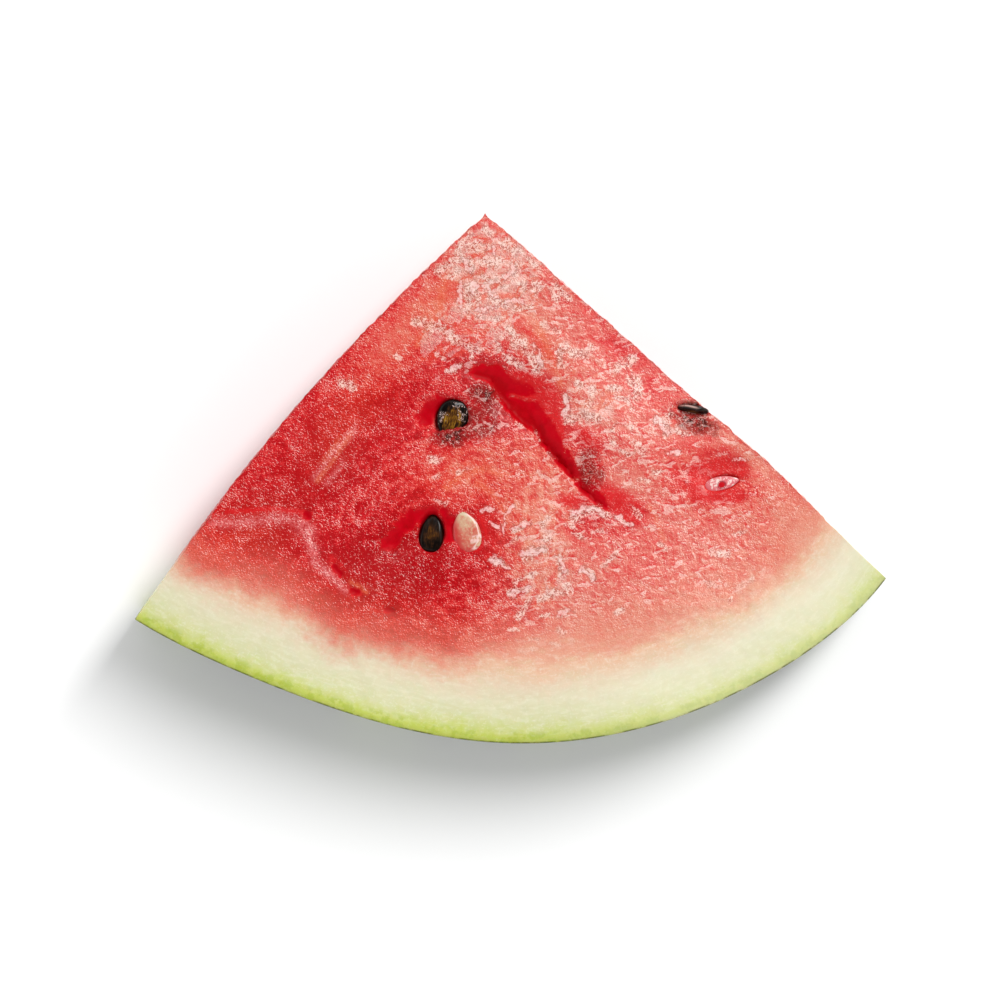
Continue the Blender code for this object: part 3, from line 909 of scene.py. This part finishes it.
    # The wet patches, shards and frosted patches lift the tone with painted highlight, partly
    # frost; the gaps between shards lower it, and so does the blobs' painted shade.
    tone += n.larger(highlight_patch, shard) * 0.2
    tone += frost_glints * 0.1
    tone += between * -0.1
    tone += blob_shade * -0.16
    tone = n.math("MAXIMUM", tone, 0, clamp=True)
    flesh = n.ramp(tone, FLESH)
    warm_tone = n.mix(n.step(tone, 0.2, 0.9), WARM_RED, WARM_PINK)
    warm = n.larger(warm, between * 0.9)
    clean_red = red + uneven * 0.9
    clean_red = n.step(clean_red + beaded * 0.9, 0.2, 1.1)
    shadows = n.step(rim, -0.06, -0.2) * open_flesh
    shadow_colour = n.mix(n.step(pale, 0.3, 0.75), SHADED_RED, SHADED_PINK)
    vein = veins * n.step(cells + grain, 0.68, 1.12)
    fibre = n.attribute("fibres") * n.step(cells + grain, 0.7, 1.1)

    # Painted glints: bright specks on the lit side of the cells' rims, in loose clusters.
    clusters = uneven * 0.3 + (clouds - 0.5) * 0.2
    clusters += veins * 0.06
    clusters += streaks * 0.2
    clusters += highlight_curl * 0.05
    clusters += n.larger(highlight_patch, shard) * 0.05
    glint_specks = n.step(rim + clusters + (grain - 0.5) * 0.4, 0.14, 0.25)
    glint_specks = glint_specks * open_flesh * clear

    shade = n.step(torn, 0.25, 0.7)
    depths = deep + uneven * 0.8
    hollow = n.mix(n.step(depths, 0.3, 0.62), CLEAR_RED, DEEP_RED)
    # Darkest red in the deepest places and along the fissure's lower lip: painted shade.
    hollow = n.mix(n.step(depths, 0.85, 1.15), hollow, SHADED_DEEP_RED)
    near = n.step(dark, 0.04, 0.4)
    stain = dark + uneven * 1.8 * near
    stained = n.step(stain, 0.05, 0.55, 0, 0.75) * near
    stain += beaded * 1.8
    # Painted highlights: the glints of the wet patches, of the specks and of the shards.
    glints = n.larger(highlight_patch * 0.42, glint_specks * 0.78)
    glints = n.larger(glints, shard * 0.34)
    # Painted highlights on the film over the buried seeds, from the curls.
    lit_curl = highlight_curl * n.step(dark, 0.1, 0.4) * 0.8
    # A broken dark line along the face's cut edge: painted shade where the edge turns away.
    edge_shade = n.step(n.attribute("cut_edge"), 0.35, 0.85) * n.step(cells, 0.4, 0.56)
    flesh = n.paint(
        flesh,
        (warm * 0.65, warm_tone),
        (clean_red * 0.82, CLEAR_RED),
        (shadows * 0.65, shadow_colour),
        (vein * 0.7, VEIN_PINK),
        (fibre * 0.75, FIBRE),
        (shade, hollow),
        (stained, STAIN),
        (n.step(stain, 0.62, 1.2, 0, 0.92) * near, BURIED_SEED),
        (glints, FROST_GLINT),
        (lit_curl, FILM_GLINT_PINK),
        (packed * 0.8, BRIGHT_FROST_GLINT),
        (shade_strokes * 0.54, STROKE_SHADE),
        (ridge_shade * (cells * 0.8), STROKE_SHADE),
        (ridge_glint * n.step(curly, 0.42, 0.54, 0.42, 0.8), RIDGE_GLINT),
        (edge_shade * 0.7, EDGE_SHADE),
    )

    # The rind, with a soft and mottled edge to the flesh.
    edge = depth + (wander - 0.5) * 6
    edge += (tufts - 0.5) * 6
    past_rind = edge - n.attribute("rind_ends")
    into_flesh = n.step(past_rind, -4.6, 4.4, 0, 0.74)
    into_flesh += n.step(past_rind, 0, 12, 0, 0.26)
    sprinkle = (tufts - 0.5) * 4.4 + beaded * 1.4
    sprinkle += (wander - 0.45) * 4
    band = depth + sprinkle * n.step(depth, 0.4, 2.5)
    rind = n.ramp(
        n.math("DIVIDE", band, RIND_REACH, clamp=True),
        [(place / RIND_REACH, *display) for place, *display in RIND],
    )
    along = n.attribute("rind_place")
    fibres = [n.noise(along, size, 2, 0.6) for size in (0.75, 1.5)]
    inner = n.step(depth, 1, 4, 0.35, 1)
    green = n.step(n.noise(here, 2.6, 3, 0.6) + fibres[1] * 0.3, 0.62, 0.74)
    paler = n.attribute("rind_pale") * n.step(depth, 14, 9, 0, 0.26)
    rind_dots = n.step(n.noise(here, 0.55, 2, 0.6), 0.55, 0.68, 0, 0.24)
    line = n.step(depth, 0.4, 0.15) * n.step(n.noise(here, 3, 3, 0.7), 0.4, 0.58)
    rind = n.paint(
        rind,
        (n.step(fibres[0], 0.5, 0.66, 0, 0.18) * inner, RIND_LIGHT),
        (n.step(fibres[1], 0.5, 0.34, 0, 0.16) * inner, RIND_SHADE),
        (green * n.step(depth, 3.4, 1.2) * 0.55, RIND_GREEN),
        (paler, RIND_LIGHT),
        (rind_dots * inner, RIND_LIGHT),
        (line * 0.8, SKIN_LINE),
    )
    colour = n.mix(into_flesh, rind, flesh)

    # The relief too fine for the mesh: juice cells in the flesh, almost none in the rind.
    strength = n.step(depth, 8, 20, 0.06, 1) * n.step(deep, 0.1, 0.6, 1, 0.25)
    fine = (rims[0] * 0.7 + grain * 0.3) * strength
    swells = swell[0] * gloss * strength
    coat = n.step(depth, 8, 20, 0.15, 1) * n.step(deep + dark, 0.1, 0.6, 1, 0)
    coat *= clear
    return n.finish(
        Base_Color=colour, Roughness=n.step(highlight_patch, 0, 1, 0.4, 0.28),
        Normal=n.bump(fine, 0.22, 0.6), Specular_IOR_Level=0.05, Subsurface_Weight=0.25,
        Subsurface_Radius=(1, 0.3, 0.2), Subsurface_Scale=0.8 * MM,
        Coat_Weight=coat * n.step(gloss, 0, 0.6, 0.12, 0.7), Coat_Roughness=0.08, Coat_IOR=1.5,
        Coat_Normal=n.bump(fine * 0.45 + swells * 0.8, 0.6, 1),
    )


def skin_material():
    """The waxy green skin, with darker stripes that run from pole to pole."""
    n = Nodes("melon_skin")
    here = n.place()
    tall = n.place(0, (1, 1, 2.6))
    stripes = n.noise(tall, 15, 3, 0.55, 0.8)
    veins = n.noise(tall, 3, 4, 0.6)
    colour = n.mix(n.step(veins, 0.35, 0.7), SKIN_GREEN, SKIN_PALE)
    colour = n.mix(n.step(stripes + veins * 0.15, 0.52, 0.62), colour, SKIN_DARK)
    normal = n.bump(n.noise(here, 1.2, 3), 0.05)
    return n.finish(
        Base_Color=colour, Roughness=0.32, Normal=normal, Coat_Weight=0.25, Coat_Roughness=0.2,
    )


def seed_material():
    """A black shell, streaked along it, golden brown in the middle where it is ripe."""
    n = Nodes("seed_shell")
    local = n.attribute("seed_place")
    along = n.vector("MULTIPLY", {0: local, 1: (0.3, 1, 1)})
    streaks = n.noise(along, 0.5, 3, 0.65, 0.4)
    mottle = n.noise(local, 1.3, 2, 0.5)
    golden = n.attribute("golden")
    middle = n.attribute("middle") * golden
    contrast = n.step(golden, 0, 1, 0.5, 2.2)
    brown = (streaks - 0.5) * contrast + (mottle - 0.5) * 0.8
    brown += n.step(middle, 0, 0.7, 0, 0.62)
    brown += n.step(golden, 0.9, 0.4, 0, 0.12)
    colour = n.ramp(brown, SHELL, srgb)
    # Thin white curls on the ripe seeds: a film of flesh with painted glints.
    film_glint = abs(n.noise(local, 1.1, 2, 0.6, 1) - 0.5)
    film_glint = n.step(film_glint, 0.03, 0) * n.step(n.noise(local, 2.2, 1), 0.57, 0.64)
    film_glint *= n.step(golden, 0.5, 1)
    colour = n.mix(film_glint * 0.8, colour, FROST_GLINT)
    # The side seed's painted highlight: a light line along its crest.
    highlight_line = n.attribute("highlight_line") * n.step(n.noise(local, 0.9, 2), 0.3, 0.4)
    colour = n.mix(highlight_line * 0.8, colour, HIGHLIGHT_LINE_COLOUR)
    normal = n.bump(streaks, 0.12)
    return n.finish(
        Base_Color=colour, Roughness=0.35, Normal=normal, Specular_IOR_Level=0.05, Coat_Weight=0.28,
        Coat_Roughness=0.05,
    )


def unripe_seed_material():
    """A soft, half-clear shell: cream at the tip, pink in the middle, with a painted highlight
    along its wet rim.
    """
    n = Nodes("unripe_shell")
    local = n.attribute("seed_place")
    parts = [n.node("ShaderNodeSeparateXYZ", {0: local}, output=axis) for axis in (0, 1)]
    mottle = n.noise(local, 1.2, 3, 0.65, 0.4)
    share = n.step(parts[0], -4.2 * MM, 0.6 * MM, 0, 0.66) + (mottle - 0.5) * 2.4
    share += n.step(parts[0], 1.6 * MM, 4.2 * MM, 0, -0.25)
    colour = n.ramp(share, UNRIPE)
    dots = n.step(n.noise(local, 0.8, 1), 0.56, 0.64) * 0.75
    colour = n.mix(dots, colour, lit(*UNRIPE[1][1:]))
    edge = parts[1] + (mottle - 0.5) * (2 * MM)
    colour = n.mix(n.step(edge, -0.4 * MM, -2.4 * MM, 0, 0.95), colour, UNRIPE_EDGE)
    lower_end = parts[0] + (mottle - 0.5) * (3 * MM)
    colour = n.mix(n.step(lower_end, 2.4 * MM, 4.2 * MM, 0, 0.75), colour, UNRIPE_EDGE)
    # The bright band along the wet rim is a painted highlight.
    middle = n.attribute("middle") + (mottle - 0.5) * 0.25
    band = n.step(middle, 0.14, 0.06) * n.step(middle, 0, 0.03)
    band *= n.step(edge, 0.1 * MM, 1 * MM)
    colour = n.mix(band * 0.85, colour, FROST_GLINT)
    glint = n.step(parts[0], 1 * MM, 1.5 * MM) * n.step(parts[0], 3 * MM, 2.5 * MM)
    glint *= n.step(edge, 0.5 * MM, 1 * MM)
    colour = n.mix(glint * n.step(mottle, 0.42, 0.52) * 0.8, colour, FROST_GLINT)
    return n.finish(
        Base_Color=colour, Roughness=0.3, Normal=n.bump(mottle, 0.15), Specular_IOR_Level=0.2,
        Subsurface_Weight=0.3, Subsurface_Radius=(1, 0.4, 0.3), Subsurface_Scale=0.8 * MM,
        Coat_Weight=0.4, Coat_Roughness=0.08,
    )


def seed_coat_material():
    """A pinkish white wet skin, its white patches painted highlights, with a small red hole in it.
    """
    n = Nodes("empty_shell")
    local = n.attribute("seed_place")
    away = n.vector("SUBTRACT", {0: local, 1: COAT_HOLE})
    away = n.vector("MULTIPLY", {0: away, 1: (1, 1.15, 0)})
    away = n.vector("LENGTH", {0: away}, 1)
    mottle = n.noise(local, 0.7, 3, 0.6, 0.5)
    # White wet patches over the pink: painted highlights.
    colour = n.mix(n.step(mottle, 0.51, 0.63), COAT_PINK, FROST_GLINT)
    rim = n.step(away, 1.15 * MM, 0.85 * MM) * n.step(mottle, 0.3, 0.6, 1, 0.6)
    colour = n.mix(rim, colour, COAT_RIM)
    colour = n.mix(n.step(away, 0.75 * MM, 0.62 * MM), colour, DEEP_RED)
    return n.finish(
        Base_Color=colour, Roughness=0.3, Normal=n.bump(mottle, 0.12), Specular_IOR_Level=0.2,
        Coat_Weight=0.4, Coat_Roughness=0.08,
    )


def seed_mesh(name, sizes, finish, blunt=0.9):
    """A flat egg-shaped seed along X, pointed at -X, with a low rim around both faces."""
    length, width, thickness = (size * MM for size in sizes)
    around, along = 40, 24
    points = []
    for t in np.arange(1, along) / along:
        station = -cos(pi * t)
        half = (width / 2) * (sin(pi * t) ** blunt) * (1 + 0.22 * station)
        if station < -0.4:
            half *= 1 - 0.25 * smoothstep(0.4, 1, -station)
        fullness = (thickness / 2) * (sin(pi * t) ** 0.6)
        for angle in 2 * pi * np.arange(around) / around:
            side, up = cos(angle), sin(angle)
            rim = 0.9 + 0.18 * smoothstep(0.62, 0.82, abs(side))
            height = fullness * np.sign(up) * abs(up) ** 0.75 * rim
            points.append((station * length / 2, half * side, height))
    tip = len(points)
    last = tip - around
    points += [(-length / 2, 0, 0), (length / 2, 0, 0)]
    faces = []
    for first in range(0, last, around):
        for k in range(around):
            a, b = first + k, first + (k + 1) % around
            faces.append((a, b, b + around, a + around))
    for k in range(around):
        following = (k + 1) % around
        faces += [(tip, following, k), (tip + 1, last + k, last + following)]
    mesh = bpy.data.meshes.new(name)
    mesh.from_pydata(points, [], faces)
    mesh.shade_smooth()
    mesh.materials.append(finish)
    local = np.array(points)
    set_values(mesh, "seed_place", local)
    reach = np.hypot(local[:, 0] / (length / 2), local[:, 1] / (width / 2))
    set_values(mesh, "middle", 1 - smoothstep(0.25, 0.95, reach))
    return mesh


def seat(name, mesh, pocket, sunk, tilt=0, roll=0):
    """Lays a seed in its pocket, this far below the face, and puts its form in world space."""
    (x, y), _, _, turn, _ = SEED_POCKETS[pocket]
    x, y = x * MM, y * MM
    height = float(top_height(np.array([x]), np.array([y]))[0])
    matrix = Matrix.Translation((x, y, height - sunk * MM))
    for angle, axis in ((turn, "Z"), (tilt, "Y"), (roll, "X")):
        matrix @= Matrix.Rotation(radians(angle), 4, axis)
    mesh.transform(matrix)
    return add_object(name, mesh)


def join(name, pieces):
    bpy.ops.object.select_all(action="DESELECT")
    for piece in pieces:
        piece.select_set(True)
    bpy.context.view_layer.objects.active = pieces[0]
    bpy.ops.object.join()
    pieces[0].name = name
    pieces[0].data.name = name
    return pieces[0]


def build_seeds():
    dark = seed_material()
    seeds = []
    for name, sizes, blunt, golden, sunk, tilt, roll in (
        ("heart", (9, 6.7, 2.3), 0.9, 1, 1, -6, 6),
        ("left", (8, 5, 2.3), 0.62, 0.38, 1.3, -4, 8),
        ("side", (7.4, 5, 1.6), 0.9, 0.62, 2.2, -4, 76),
    ):
        mesh = seed_mesh("seed_" + name, sizes, dark, blunt)
        along, _, up = np.array([vertex.co for vertex in mesh.vertices]).T / MM
        # A painted highlight line along the side seed's crest.
        middle_line = 0.16 * np.sin(along / 1.1) - 0.1
        crest = np.exp(-(((up - middle_line) / 0.2) ** 2)) * (name == "side")
        crest *= smoothstep(-3.2, -2.2, along) * (1 - smoothstep(0.6, 1.8, along))
        set_values(mesh, "highlight_line", crest)
        set_values(mesh, "golden", np.full(len(mesh.vertices), golden))
        seeds.append(seat("seed_" + name, mesh, name, sunk, tilt, roll))
    seeds = join("seeds", seeds)

    _, length, width, _, _ = SEED_POCKETS["pale"]
    sizes = (length * 0.98, width * 0.98, 1.9)
    mesh = seed_mesh("unripe_seed", sizes, unripe_seed_material())
    unripe = seat("unripe_seed", mesh, "pale", 0.85, roll=7)

    _, length, width, _, _ = SEED_POCKETS["coat"]
    sizes = (length * 0.98, width * 0.93, 0.9)
    mesh = seed_mesh("empty_seed_coat", sizes, seed_coat_material())
    coat = seat("empty_seed_coat", mesh, "coat", 0.45)
    return seeds, unripe, coat


# --- Floor, light and camera ---
CAMERA_DISTANCE = 1.6
VIEW_WIDTH = 215.05 * MM
VIEW_CENTRE = (-2.3 * MM, -4.5 * MM)
SENSOR = 36


def build_stage():
    bpy.ops.mesh.primitive_circle_add(vertices=96, radius=3, fill_type="NGON")
    floor = bpy.context.object
    floor.name = "floor"
    paper = Nodes("floor_paper").finish(Base_Color=(0.85, 0.85, 0.85, 1), Roughness=0.9)
    floor.data.materials.append(paper)

    # The room is bright all around and dark straight overhead.
    n = Nodes("studio", "worlds", "Background")
    direction = n.node("ShaderNodeTexCoord", output="Generated")
    up = n.node("ShaderNodeSeparateXYZ", {0: direction}, "Z")
    room = n.finish(Color=(1, 1, 1, 1), Strength=n.step(up, 0.6, 0.9, 1.36, 0.06))
    bpy.context.scene.world = room

    # A tall softbox at the upper right.
    light = bpy.data.lights.new("softbox", "AREA")
    light.shape = "ELLIPSE"
    light.size = 0.5
    light.size_y = 2
    light.energy = 43
    lamp = add_object("softbox", light)
    towards = Vector((0.435, 0.475, 0.765)).normalized()
    lamp.location = towards * 2.2
    lamp.rotation_euler = towards.to_track_quat("Z", "Y").to_euler()

    camera = bpy.data.cameras.new("camera")
    camera.sensor_width = SENSOR
    camera.lens = SENSOR * CAMERA_DISTANCE / VIEW_WIDTH
    camera.clip_end = 20
    eye = add_object("camera", camera)
    eye.location = (*VIEW_CENTRE, THICKNESS + CAMERA_DISTANCE)
    bpy.context.scene.camera = eye
    bpy.context.scene.view_settings.view_transform = "Standard"


def main():
    build_stage()
    piece = build_slice(flesh_material(), skin_material())
    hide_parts(NODE)
    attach(piece, "root")
    for seed in build_seeds():
        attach(seed, "root")


main()
